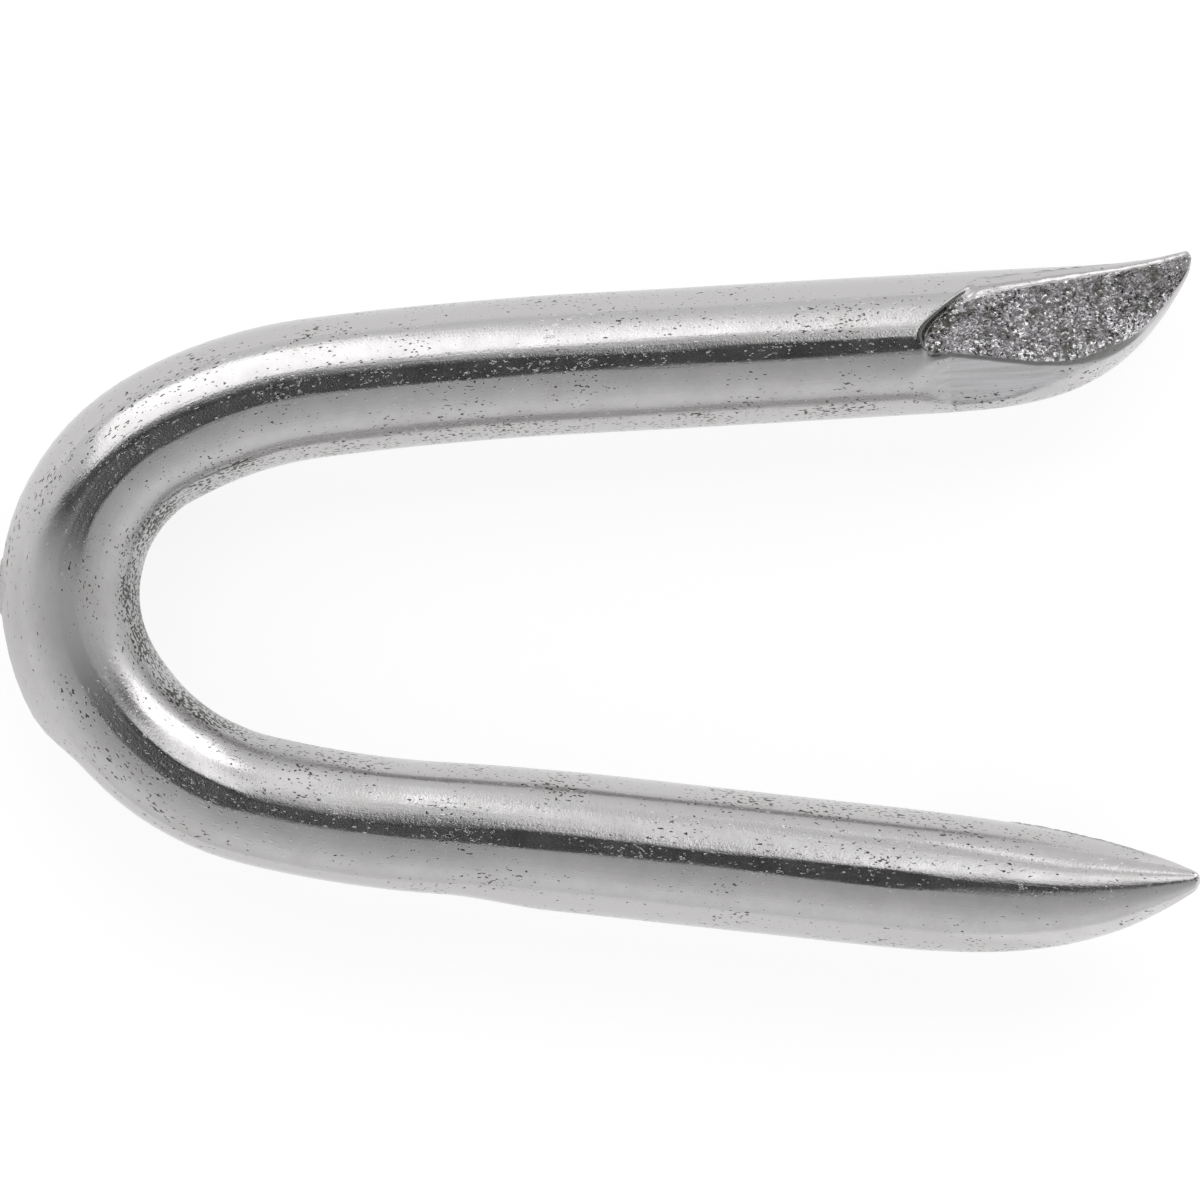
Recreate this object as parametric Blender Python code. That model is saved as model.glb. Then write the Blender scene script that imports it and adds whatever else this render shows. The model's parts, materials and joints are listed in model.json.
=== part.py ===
"""Fence staple: one galvanised steel wire, sheared to a slash point at each end and bent to a U.

The staple lies on its side on the plane z = 0, as it comes to rest. Its legs open towards +X and
spread evenly about the X axis, and the origin is under the middle of its outline.
"""

import math

import bmesh
import bpy
from mathutils import Matrix, Vector

MM = 0.001

# The wire as drawn, before any tool touches it.
WIRE_DIAMETER = 3.76 * MM

# Straight runs, measured along the wire to the end of each point.
UPPER_LEG = 16.87 * MM
LOWER_LEG = 16.03 * MM

# Bends in the order the wire meets them, upper leg first. Each is a radius to the wire's axis and
# a turn in degrees. The total turn leaves the legs spread by 9.5 degrees.
UPPER_BOW_RADIUS = 99.0 * MM
UPPER_BOW_ANGLE = 4.0
UPPER_SHOULDER_RADIUS = 11.65 * MM
UPPER_SHOULDER_ANGLE = 21.7
CROWN_RADIUS = 4.79 * MM
CROWN_ANGLE = 87.8
LOWER_SHOULDER_RADIUS = 6.78 * MM
LOWER_SHOULDER_ANGLE = 49.7
LOWER_EASE_RADIUS = 28.2 * MM
LOWER_EASE_ANGLE = 10.2
LOWER_BOW_RADIUS = 87.8 * MM
LOWER_BOW_ANGLE = -2.9

# The crown's section goes slightly oval as it stretches round the former.
DRAW_IN = 0.07 * MM
DRAW_IN_EASE = 2.7 * MM

# The former's wiper presses a flat along the outside of the lower shoulder. It starts this far
# along the wire past the crown's outermost point, bites at once and fades towards the leg.
PRESS_START = 2.6 * MM
PRESS_LENGTH = 14.2 * MM
PRESS_DEPTH = 0.37 * MM
PRESS_DEPTH_AT_LEG = 0.20 * MM
PRESS_RUN_IN = 1.6 * MM
PRESS_RUN_OUT = 3.4 * MM

# A small flat land stands proud on the outside of the crown, where the pusher bore on it.
LAND_LENGTH = 1.26 * MM
LAND_WIDTH = 0.86 * MM
LAND_HEIGHT = 0.045 * MM

# Both points come from one pair of shear dies, so they share these sizes. Distances along the
# leg are taken back from the very tip.
HEEL = 7.3 * MM
HEEL_WALL = 0.15 * MM
HEEL_SKEW_ANGLE = 36.0
RAMP_DEPTH = 0.14 * MM
RAMP_ENTRY_ANGLE = 6.0
RAMP_CURVE = 3.0
RAMP_TILT_ANGLE = 5.0
SIDE_FACET_START = 6.3 * MM
SIDE_FACET_BITE = 0.32 * MM
SIDE_FACET_ANGLE = 36.0
TIP_LEAN_ANGLE = -25.0
TIP_LAND = 0.08 * MM
TIP_RADIUS = 0.245 * MM
TAPER_EASE = 3.75
HOOK_EASE = 7.0

# What differs from point to point: the lower one is cut from the other side and rolled.
UPPER_TAPER_LENGTH = 8.2 * MM
UPPER_TIP_HOOK = 0.45 * MM
LOWER_TAPER_LENGTH = 10.6 * MM
LOWER_TIP_HOOK = 0.0
LOWER_POINT_ANGLE = 32.0

# Facets.
SIDES = 36
LEG_STEP = 2.4 * MM
BEND_STEP_ANGLE = 6.0
POINT_RINGS = 20
RAMP_STEPS = 14
LAND_SIDES = 24

WIRE_RADIUS = WIRE_DIAMETER / 2


class Point:
    """One sheared end: how its die frame sits on the leg, and the size of its taper."""

    def __init__(self, length, hook, hand, roll, outward):
        self.length = length
        self.hook = hook
        self.hand = hand
        self.roll = math.radians(roll)
        self.outward = outward

    def to_leg(self, across, up):
        """Turns a die-frame offset into (outward, up) offsets from the leg's axis."""
        up = self.hand * up
        side = across * math.cos(self.roll) - up * math.sin(self.roll)
        height = across * math.sin(self.roll) + up * math.cos(self.roll)
        return self.outward * side, height

    def radius(self, back):
        """Radius of the round body at a distance back from the tip."""
        share = min(max(back / self.length, 0.0), 1.0)
        return WIRE_RADIUS - (WIRE_RADIUS - TIP_RADIUS) * (1 - share) ** TAPER_EASE

    def centre(self, back):
        """Die-frame offset of the round body's centre: it stays tangent to the wire's own skin."""
        share = min(max(back / self.length, 0.0), 1.0)
        shift = WIRE_RADIUS - self.radius(back)
        lean = math.radians(TIP_LEAN_ANGLE)
        hook = self.hook * (1 - share) ** HOOK_EASE
        return shift * math.cos(lean) + hook, shift * math.sin(lean)


UPPER_POINT = Point(UPPER_TAPER_LENGTH, UPPER_TIP_HOOK, hand=1, roll=0.0, outward=1)
LOWER_POINT = Point(LOWER_TAPER_LENGTH, LOWER_TIP_HOOK, hand=-1, roll=LOWER_POINT_ANGLE, outward=-1)


def ease(value):
    """Smooth step from 0 to 1."""
    value = min(max(value, 0.0), 1.0)
    return value * value * (3 - 2 * value)


def wire_runs():
    """Length and turn in radians of each run of the wire, from the upper tip to the lower one."""
    bends = (
        (UPPER_BOW_RADIUS, UPPER_BOW_ANGLE),
        (UPPER_SHOULDER_RADIUS, UPPER_SHOULDER_ANGLE),
        (CROWN_RADIUS, CROWN_ANGLE),
        (LOWER_SHOULDER_RADIUS, LOWER_SHOULDER_ANGLE),
        (LOWER_EASE_RADIUS, LOWER_EASE_ANGLE),
        (LOWER_BOW_RADIUS, LOWER_BOW_ANGLE),
    )
    runs = [(UPPER_LEG, 0.0)]
    for radius, turn in bends:
        angle = math.radians(turn)
        runs.append((radius * abs(angle), angle))
    runs.append((LOWER_LEG, 0.0))
    return runs


RUNS = wire_runs()
WIRE_LENGTH = sum(length for length, turn in RUNS)
TOTAL_TURN = sum(turn for length, turn in RUNS)
START_HEADING = math.radians(270) - TOTAL_TURN / 2


def axis_at(distance):
    """Place and heading of the wire's axis at a distance from the upper tip, in its own plane."""
    place = Vector((0.0, 0.0))
    heading = START_HEADING
    left = distance
    for length, turn in RUNS:
        step = min(left, length)
        if turn:
            radius = length / turn
            end = heading + step / radius
            place.x += radius * (math.sin(end) - math.sin(heading))
            place.y -= radius * (math.cos(end) - math.cos(heading))
            heading = end
        else:
            place.x += step * math.cos(heading)
            place.y += step * math.sin(heading)
        left -= step
        if left <= 0:
            break
    return place, heading


def apex_distance():
    """Distance along the wire to the crown's outermost point, where it heads straight across."""
    heading = START_HEADING
    distance = 0.0
    for length, turn in RUNS:
        if turn and heading < math.radians(270) <= heading + turn:
            return distance + length * (math.radians(270) - heading) / turn
        heading += turn
        distance += length
    return WIRE_LENGTH / 2


APEX = apex_distance()


def draw_in(distance):
    """How much narrower the section is, measured across the bend."""
    crown_start = sum(length for length, turn in RUNS[:3])
    crown_end = crown_start + RUNS[3][0]
    rise = ease((distance - crown_start) / DRAW_IN_EASE + 0.5)
    return DRAW_IN * rise * ease((crown_end - distance) / DRAW_IN_EASE + 0.5)


def press_depth(distance):
    """Depth of the pressed flat below the outer side."""
    along = distance - APEX - PRESS_START
    depth = PRESS_DEPTH + (PRESS_DEPTH_AT_LEG - PRESS_DEPTH) * min(max(along / PRESS_LENGTH, 0.0), 1.0)
    return depth * ease(along / PRESS_RUN_IN) * ease((PRESS_LENGTH - along) / PRESS_RUN_OUT)


def stations():
    """Distances along the wire at which the section is drawn, closer together at the points."""
    found = []
    for i in range(POINT_RINGS + 1):
        share = (i / POINT_RINGS) ** 1.5
        found.append(UPPER_POINT.length * share)
        found.append(WIRE_LENGTH - LOWER_POINT.length * share)
    first = UPPER_POINT.length + LEG_STEP / 4
    last = WIRE_LENGTH - LOWER_POINT.length - LEG_STEP / 4
    start = 0.0
    for length, turn in RUNS:
        bend_steps = math.ceil(math.degrees(abs(turn)) / BEND_STEP_ANGLE)
        steps = max(1, math.ceil(length / LEG_STEP), bend_steps)
        for i in range(steps):
            distance = start + length * i / steps
            if first < distance < last:
                found.append(distance)
        start += length
    return sorted(found)


def section(distance):
    """The wire's outline at one station, as (outward, up) offsets from its axis."""
    upper = distance < WIRE_LENGTH / 2
    point = UPPER_POINT if upper else LOWER_POINT
    back = distance if upper else WIRE_LENGTH - distance
    radius = point.radius(back)
    centre_out, centre_up = point.to_leg(*point.centre(back))
    oval = 1 - draw_in(distance) / WIRE_DIAMETER
    press = press_depth(distance)
    outline = []
    for i in range(SIDES):
        angle = 2 * math.pi * i / SIDES
        out = centre_out + radius * oval * math.cos(angle)
        up = centre_up + radius * math.sin(angle)
        if press > 0:
            out = min(out, WIRE_RADIUS - press)
        outline.append((out, up))
    return outline


def placed(distance, out, up):
    """A point beside the wire's axis, in space, with the wire resting on z = 0."""
    place, heading = axis_at(distance)
    outward = Vector((math.sin(heading), -math.cos(heading)))
    flat = place + outward * out
    return Vector((flat.x, flat.y, WIRE_RADIUS + up))


def wire_body():
    """The bent wire with its two drawn-out points, lofted from ring to ring and closed at both ends."""
    mesh = bmesh.new()
    rings = []
    for distance in stations():
        rings.append([mesh.verts.new(placed(distance, out, up)) for out, up in section(distance)])
    for ring, after in zip(rings, rings[1:]):
        for i in range(SIDES):
            j = (i + 1) % SIDES
            mesh.faces.new((ring[i], ring[j], after[j], after[i]))
    mesh.faces.new(rings[0])
    mesh.faces.new(reversed(rings[-1]))
    bmesh.ops.recalc_face_normals(mesh, faces=mesh.faces)
    return finished_mesh(mesh, "staple")


def finished_mesh(mesh, name):
    """Turns a bmesh into an object in the scene."""
    data = bpy.data.meshes.new(name)
    mesh.to_mesh(data)
    mesh.free()
    body = bpy.data.objects.new(name, data)
    bpy.context.scene.collection.objects.link(body)
    return body


def ramp_height(point, back):
    """Height of the shear face in the die frame: straight from the heel, then curving down to the tip."""
    start = WIRE_RADIUS - RAMP_DEPTH
    entry = math.tan(math.radians(RAMP_ENTRY_ANGLE))
    last = point.centre(0.0)[1] + TIP_LAND
    share = (HEEL - back) / HEEL
    curved = (start - entry * HEEL - last) * abs(share) ** RAMP_CURVE
    return start - entry * share * HEEL - math.copysign(curved, share)


def ramp_profile(point, side):
    """Side view of the shear die at one of its sides: (back from the tip, up) from heel to tip.

    The heel is skewed, so it lies further back on one side than on the other.
    """
    heel = HEEL - side * math.tan(math.radians(HEEL_SKEW_ANGLE))
    heel_up = ramp_height(point, heel)
    beyond = WIRE_RADIUS
    profile = [(heel + HEEL_WALL * beyond / RAMP_DEPTH, heel_up + beyond), (heel, heel_up)]
    for i in range(1, RAMP_STEPS + 1):
        back = heel - (heel + beyond / 2) * i / RAMP_STEPS
        profile.append((back, ramp_height(point, back)))
    return profile


def facet_profile(point, side):
    """Side view of the smooth side facet: (back from the tip, up) from heel to tip."""
    flat = WIRE_RADIUS - SIDE_FACET_BITE
    run_in = SIDE_FACET_BITE / (HEEL - SIDE_FACET_START)
    beyond = WIRE_RADIUS
    return [
        (HEEL + beyond, WIRE_RADIUS + run_in * beyond),
        (SIDE_FACET_START, flat),
        (-beyond, flat),
    ]


def die(name, point, tip_distance, profile, turn):
    """A shear die: all that lies above the profile, drawn wide across the wire and turned about it."""
    reach = 1.2 * WIRE_RADIUS
    ceiling = 4 * WIRE_RADIUS
    angle = math.radians(turn)
    mesh = bmesh.new()
    ends = []
    for side in (-reach, reach):
        end = []
        outline = profile(point, side)
        outline += [(outline[-1][0], ceiling), (outline[0][0], ceiling)]
        for back, up in outline:
            across = side * math.cos(angle) - up * math.sin(angle)
            height = side * math.sin(angle) + up * math.cos(angle)
            out, rise = point.to_leg(across, height)
            end.append(mesh.verts.new(beside_tip(tip_distance, back, out, rise)))
        ends.append(end)
    near, far = ends
    mesh.faces.new(near)
    mesh.faces.new(reversed(far))
    for i in range(len(outline)):
        j = (i + 1) % len(outline)
        mesh.faces.new((near[j], near[i], far[i], far[j]))
    bmesh.ops.triangulate(mesh, faces=mesh.faces)
    bmesh.ops.recalc_face_normals(mesh, faces=mesh.faces)
    return as_cutter(finished_mesh(mesh, name))


def beside_tip(tip_distance, back, out, up):
    """A point given by its distance back along the straight leg from the tip's end."""
    place, heading = axis_at(tip_distance)
    along = Vector((math.cos(heading), math.sin(heading)))
    if tip_distance > 0:
        along = -along
    outward = Vector((math.sin(heading), -math.cos(heading)))
    flat = place + along * back + outward * out
    return Vector((flat.x, flat.y, WIRE_RADIUS + up))


def as_cutter(body):
    """Marks a helper that shapes the staple and isn't part of it."""
    body.hide_render = True
    body.display_type = "WIRE"
    return body


def pusher_land():
    """The oval land on the outside of the crown, its face square to the X axis."""
    place, heading = axis_at(APEX)
    face = place.x - (WIRE_DIAMETER - draw_in(APEX)) / 2 - LAND_HEIGHT
    root = place.x - WIRE_RADIUS / 2
    mesh = bmesh.new()
    ends = []
    for x in (face, root):
        end = []
        for i in range(LAND_SIDES):
            angle = 2 * math.pi * i / LAND_SIDES
            y = place.y + LAND_LENGTH / 2 * math.cos(angle)
            z = WIRE_RADIUS + LAND_WIDTH / 2 * math.sin(angle)
            end.append(mesh.verts.new((x, y, z)))
        ends.append(end)
    front, back = ends
    mesh.faces.new(front)
    mesh.faces.new(reversed(back))
    for i in range(LAND_SIDES):
        j = (i + 1) % LAND_SIDES
        mesh.faces.new((front[j], front[i], back[i], back[j]))
    bmesh.ops.recalc_face_normals(mesh, faces=mesh.faces)
    return as_cutter(finished_mesh(mesh, "pusher_land"))


def centre_outline(body, tools):
    """Moves the staple and its tools so that the finished outline's middle is over the origin."""
    finished = body.evaluated_get(bpy.context.evaluated_depsgraph_get())
    spots = [vertex.co for vertex in finished.data.vertices]
    lowest = Vector([min(spot[axis] for spot in spots) for axis in range(3)])
    highest = Vector([max(spot[axis] for spot in spots) for axis in range(3)])
    middle = (lowest + highest) / 2
    shift = Matrix.Translation((-middle.x, -middle.y, -lowest.z))
    for part in [body] + tools:
        part.data.transform(shift)


def shape_with(body, tool, operation):
    """Adds a Boolean of the staple with one of its tools."""
    modifier = body.modifiers.new(tool.name, "BOOLEAN")
    modifier.operation = operation
    modifier.solver = "EXACT"
    modifier.object = tool


def galvanised_steel():
    """Bright drawn wire under a thin zinc coat."""
    material = bpy.data.materials.new("galvanised_steel")
    material.use_nodes = True
    shader = material.node_tree.nodes["Principled BSDF"]
    shader.inputs["Base Color"].default_value = (0.62, 0.61, 0.62, 1.0)
    shader.inputs["Metallic"].default_value = 1.0
    shader.inputs["Roughness"].default_value = 0.34
    return material


def build():
    for old in list(bpy.data.objects):
        bpy.data.objects.remove(old)
    staple = wire_body()
    tools = [pusher_land()]
    shape_with(staple, tools[0], "UNION")
    for name, point, tip in (("upper", UPPER_POINT, 0.0), ("lower", LOWER_POINT, WIRE_LENGTH)):
        facet = die(name + "_facet_die", point, tip, facet_profile, SIDE_FACET_ANGLE)
        shape_with(staple, facet, "DIFFERENCE")
        ramp = die(name + "_shear_die", point, tip, ramp_profile, -RAMP_TILT_ANGLE)
        shape_with(staple, ramp, "DIFFERENCE")
        tools += [facet, ramp]
    centre_outline(staple, tools)
    staple.data.materials.append(galvanised_steel())
    staple.data.shade_smooth()
    staple.data.set_sharp_from_angle(angle=math.radians(25))


build()
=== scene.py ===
import json
import math

import bpy
import numpy as np
from mathutils import Matrix, Vector


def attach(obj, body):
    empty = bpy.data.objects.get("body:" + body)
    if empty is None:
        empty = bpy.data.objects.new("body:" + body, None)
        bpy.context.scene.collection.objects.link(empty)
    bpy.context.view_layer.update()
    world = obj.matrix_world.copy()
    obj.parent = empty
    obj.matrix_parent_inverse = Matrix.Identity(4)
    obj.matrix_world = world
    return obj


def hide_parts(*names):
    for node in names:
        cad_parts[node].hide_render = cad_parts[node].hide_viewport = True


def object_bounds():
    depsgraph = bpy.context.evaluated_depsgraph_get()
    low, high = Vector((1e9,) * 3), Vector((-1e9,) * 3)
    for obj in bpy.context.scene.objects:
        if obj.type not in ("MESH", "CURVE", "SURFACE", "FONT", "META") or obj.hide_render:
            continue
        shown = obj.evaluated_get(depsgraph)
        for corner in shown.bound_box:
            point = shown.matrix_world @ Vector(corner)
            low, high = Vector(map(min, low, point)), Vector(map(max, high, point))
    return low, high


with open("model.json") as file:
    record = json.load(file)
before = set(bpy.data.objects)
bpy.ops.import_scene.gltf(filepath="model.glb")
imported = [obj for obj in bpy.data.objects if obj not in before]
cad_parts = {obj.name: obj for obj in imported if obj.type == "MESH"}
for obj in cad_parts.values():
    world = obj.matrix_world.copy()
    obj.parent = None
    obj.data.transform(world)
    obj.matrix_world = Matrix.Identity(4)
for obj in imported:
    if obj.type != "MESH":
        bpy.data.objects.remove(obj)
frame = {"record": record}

# A fence staple of thick galvanised wire, with two sheared points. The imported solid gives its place
# and size. Here the same wire is drawn again with a fine skin: rolled shear edges, the torn grain of
# the shear faces, draw lines, pits, and the dents that the former left.
# Lengths are in millimetres until the skin is put into the scene.

CAD_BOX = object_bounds()
MM = 0.001

# The wire and its bends, the same as the solid's. Each bend is a radius and a turn in degrees.
WIRE_RADIUS = 1.88
UPPER_LEG = 16.87
LOWER_LEG = 16.03
BENDS = (
    (99.0, 4.0),
    (11.65, 21.7),
    (4.79, 87.8),
    (6.78, 49.7),
    (28.2, 10.2),
    (87.8, -2.9),
)
DRAW_IN = 0.07
DRAW_IN_EASE = 2.7

# The flat that the former pressed along the lower shoulder.
PRESS_START = 2.6
PRESS_LENGTH = 14.2
PRESS_DEPTH = 0.37
PRESS_DEPTH_AT_LEG = 0.20
PRESS_RUN_IN = 1.6
PRESS_RUN_OUT = 3.4

# The land on the crown.
LAND_LENGTH = 1.26
LAND_WIDTH = 0.86
LAND_HEIGHT = 0.045
LAND_EDGE = 0.25
LEAST_FACING = 0.5

# The slash points.
TIP_RADIUS = 0.245
TIP_DOME = 0.13
TAPER_EASE = 3.75
HOOK_EASE = 7.0
TIP_LEAN = math.radians(-25)
TIP_LAND = -0.02
HEEL = 7.38
HEEL_CORNER = 0.33
HEEL_CORNER_ROLL = 0.3
HEEL_SKEW = math.tan(math.radians(50))
HEEL_WALL_SLOPE = 1.2
HEEL_DIP = 0.10
HEEL_DIP_REACH = 0.35
HEEL_DIP_SIDE = -0.2
HEEL_DIP_SIDE_FADE = 0.5
RAMP_DEPTH = 0.13
RAMP_ENTRY = math.tan(math.radians(8))
RAMP_CURVE = 3.0
RAMP_TILT = math.radians(10)
FACET_START = 6.7
FACET_END = 7.6
FACET_BITE = 0.29
FACET_TURN = math.radians(39)
FACET_FALL_START = 5.0
FACET_FALL = 0.08

# How far each edge is rolled over. The shear's edge is rolled most on its outer rim, and on the
# inner edge where the die dragged it. The edge of the flat has its full roll where the flat is deep.
PRESS_ROLL = 0.25
PRESS_ROLL_DEPTH = 0.2
LEAST_PRESS_ROLL = 0.05
FACET_ROLL = 0.12
SMOOTH_SHARE = 0.8
RIM_ROLL = 0.14
RIM_BLEND = 0.5
INNER_ROLL = 0.09
DRAGGED_ROLL = 0.20
DRAGGED_AT = 2.4
DRAGGED_REACH = 0.8

# How far the shear's edge strays from its plain line, in small waves and in larger ones.
DRUM_RADIUS = 2.0
FINE_RAG = 0.012
COARSE_RAG = 0.02

# The torn grain of the shear face: how it fades in at the edge, the heel and the tip, its level,
# the size and steepness of its small and large crystals, its soft lumps, and its deepest spot.
TORN_FADE = 0.05
TORN_HEEL_FADE = 0.08
TORN_TIP_FADE = 0.5
TORN_LEVEL = 0.05
SMALL_CRYSTAL = 0.13
SMALL_STEEPNESS = 0.7
LARGE_CRYSTAL = 0.34
LARGE_STEEPNESS = 0.4
TORN_LUMPS = 0.03
DEEPEST_TEAR = 0.16

# How far the painted shade of the shear's edge spreads outside the shear face.
CREASE_SHADE_OUTSIDE = 0.2
CREASE_SHADE_FADE = 0.1

# The painted shade on the heel wall: how far it reaches ahead of the heel, behind it and to each side.
WALL_FOOT = 0.06
WALL_TOP = 0.40
WALL_FADE = 0.12
WALL_INNER_END = -0.35
WALL_OUTER_END = 1.5
WALL_SIDE_FADE = 0.3

# The line of painted shade along the shear's inner edge. The first three are counted in rolls of that
# edge.
INNER_LINE_AT = 0.3
INNER_LINE_REACH = 0.9
INNER_LINE_FADE = 0.5
INNER_LINE_SIDE = 0.16
INNER_LINE_SIDE_FADE = 0.4
INNER_LINE_HEEL_FADE = 0.4
INNER_LINE_SHADE = 0.7

# The part of the shear face's inner edge that gets painted glints.
GLITTER_AT = 3.0
GLITTER_REACH = 2.6
GLITTER_DEPTH = 0.455
GLITTER_DEPTH_FADE = 0.35
GLITTER_SIDE = 0.40
GLITTER_SIDE_FADE = 0.5

# The fine lip that runs beside the shear's rim.
LIP_GAP = 0.30
LIP_SWAY = 0.06
LIP_WIDTH = 0.035
LIP_DEPTH = 0.035
LIP_START = 1.2
LIP_RISE = 0.8
LIP_END = 6.4
LIP_FALL = 0.5
LIP_SIDE_FADE = 0.4
LIP_WHOLE = 0.8
LIP_BREAKS = 1.5

# The fold that the bend raised on the inner side of the upper shoulder. The first three are counted
# in wire radii.
FOLD_AT = -0.80
FOLD_SWAY = 0.02
FOLD_WIDTH = 0.022
FOLD_DEPTH = 0.03
FOLD_BEFORE_CROWN = 4.0
FOLD_RISE = 3.0
FOLD_PAST_APEX = 0.8
FOLD_FALL = 2.0
FOLD_WHOLE = 0.75
FOLD_BREAKS = 1.2

# The lower leg's flattened flank. Its place and reach are counted in wire radii.
FLANK_AT = -0.70
FLANK_REACH = 0.24
FLANK_DEPTH = 0.09
FLANK_START = 41.0
FLANK_RISE = 3.0
FLANK_TIP_GAP = 3.0
FLANK_TIP_FADE = 5.0

# Depths of the dents on the whole wire and on its bend, and of the wrinkles inside the bend. The
# first are drawn out along the wire and the wrinkles run across it.
WIRE_DENTS = 0.010
DENT_STRETCH = (0.45, 1.0, 1.0)
BEND_DENTS = 0.012
BEND_WRINKLES = 0.010
WRINKLE_STRETCH = (1.0, 2.0, 2.0)

# How far the bend's marks run out on each leg. The zinc is matt round the crown's apex and in a
# scuffed patch inside the lower shoulder.
BEND_BEFORE = 3.0
BEND_RISE = 4.0
BEND_AFTER = 9.0
BEND_FALL = 6.0
MATT_BEFORE = 2.4
MATT_RISE = 2.6
MATT_AFTER = 4.6
MATT_FALL = 4.0
SCUFF_AT = 42.3
SCUFF_REACH = 1.1
SCUFF_SIDE_FADE = 0.5
SCUFF_SHARE = 0.5

# Where the finish changes round the wire, counted in wire radii, and on the side facet. The wire's
# flanks get painted shade.
INNER_SIDE_AT = 0.5
INNER_SIDE_FADE = 0.4
SHADED_FLANK_AT = 0.6
SHADED_FLANK_FADE = 0.15
RUBBED_FADE = 0.2
RUBBED_SHEAR_FADE = 0.1
RUBBED_END_FADE = 1.0
# How dark the painted shade in the lip and the fold lines is.
LINE_SHADE = 0.6

# How finely the skin is drawn, and how the search for it runs.
COLUMNS = 224
SCAN_COLUMNS = 720
SEAM_ANGLE = math.radians(340)
POINT_REACH = 8.4
DOME_RINGS = 9
FIRST_RING = 0.002
UPPER_RING_GAP = 0.047
LOWER_RING_GAP = 0.075
WIRE_RING_GAP = 0.44
LAND_RING_GAP = 0.08
LAND_REACH = 0.9
SEARCH_REACH = 2.5 * WIRE_RADIUS
HALVINGS = 30
TINY = 1e-12

# How much closer the columns stand on the shear face, at its edge and at the side facet's edge, and
# over how many rings that is evened out.
FACE_CROWD = 1.6
EDGE_CROWD = 3.0
FACET_CROWD = 1.5
CROWD_REACH = 0.05
BLUR_RINGS = 7
BLUR_WIDTHS = 2.0

# Large primes that scramble a cell's place and a seed, and masks that keep the low bits.
GRID_PRIMES = (73856093, 19349663, 83492791)
SEED_PRIME = 668265263
MIXING_PRIME = 1274126177
LONG_MASK = 0xFFFFFFFF
SHORT_MASK = 0xFFFF

# The zinc's colours.
LIGHT_ZINC = (0.66, 0.647, 0.655, 1.0)
DARK_ZINC = (0.60, 0.59, 0.587, 1.0)
# Painted shade on the wire's flanks: seen from above, they are darkened to stand for the dim, shaded
# table that they mirror.
SHADED_FLANK_ZINC = (0.545, 0.535, 0.535, 1.0)
# Darker zinc for the rubbed streaks and the inside of the bend. Inside the bend it is partly the bent
# zinc's dull tone and partly painted shade of the crown's shaded inside.
STREAK_AND_BEND_SHADE_ZINC = (0.50, 0.495, 0.50, 1.0)
RUBBED_ZINC = (0.61, 0.60, 0.615, 1.0)
PIT_IN_ZINC = (0.10, 0.10, 0.09, 1.0)
# Painted shade in the creases: the heel wall, the line along the shear's inner edge, the lip and the
# fold.
CREASE_SHADE_ZINC = (0.17, 0.17, 0.165, 1.0)

# The mask of the rubbed streaks is spread wider than 0 to 1, which gives them clear edges.
STREAK_SPREAD = (-1.0, 2.0)

# The torn steel's colours.
LIGHT_STEEL = (0.50, 0.48, 0.51, 1.0)
DARK_STEEL = (0.15, 0.15, 0.135, 1.0)
# Painted glints: bright spots painted into the torn steel's colour as highlights.
PAINTED_GLINT_STEEL = (0.92, 0.91, 0.92, 1.0)
PIT_IN_STEEL = (0.07, 0.07, 0.06, 1.0)

# How rough the metals are. A pair runs from a dark patch to a light one.
ZINC_ROUGHNESS = (0.20, 0.155)
SCUFF_ROUGHNESS = 0.04
MATT_ROUGHNESS = 0.28
STEEL_ROUGHNESS = (0.34, 0.12)

# How many flecks there are. A pair runs from where its mask is empty to where it is full.
CLUSTER_WEIGHT = 0.35
ZINC_PITS = (0.285, 0.33)
MORE_BEND_PITS = 0.13
# The share of painted glints on the torn steel.
PAINTED_GLINT_SHARE = (0.35, 0.50)

# Heights of the fine relief that the finishes draw, and the size and lean of its crystals.
FINE_HEIGHT = (0.0024, 0.007)
PEEL_HEIGHT = (0.0025, 0.007)
DRAW_LINE_HEIGHT = (0.003, 0.010)
SCUFF_HEIGHT = 0.009
ZINC_PIT_HEIGHT = -0.012
GRIT_HEIGHT = (0.0, 0.02)
CRYSTALS_PER_MM = 12.0
CRYSTAL_STEEPNESS = 0.95

# The sockets that a mix node uses for colours.
MIX_SHARE = 0
MIX_FROM = 6
MIX_TO = 7
MIX_RESULT = 2

# The studio, in metres.
TABLE_REACH = 2.0
TABLE_SHADED = 0.28
TABLE_GLOW = 0.83
TABLE_BOUNCE = 0.85
DOME_WALL = 0.77
DOME_TOP = 0.41
STAND_HEIGHT = 0.40
SOFTBOX_DISTANCE = 0.35
STAND_OUTLINE = (
    (-0.055, -0.082), (0.045, -0.082), (0.045, 0.04), (0.016, 0.165),
    (-0.026, 0.165), (-0.026, 0.0), (-0.055, -0.02),
)
LEFT_ARM_OUTLINE = ((-0.70, 0.07), (-0.13, 0.045), (-0.026, 0.0), (-0.026, 0.165), (-0.70, 0.18))
RIGHT_ARM_OUTLINE = (
    (0.045, -0.04), (0.17, 0.06), (0.50, 0.16), (1.0, 0.18),
    (1.0, 0.26), (0.50, 0.26), (0.17, 0.20), (0.045, 0.13),
)

# The camera: its height over the wire's crest in metres, the photo's turn and scale, and where the
# solid's origin shows in the photo, in pixels from its top left corner.
CAMERA_REACH = 0.30
CAMERA_TURN = math.radians(1.50)
SENSOR_WIDTH = 36.0
PHOTO_PIXELS = 1200
PIXELS_PER_MM = 37.10
ORIGIN_IN_PHOTO = (602.77, 587.99)


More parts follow.
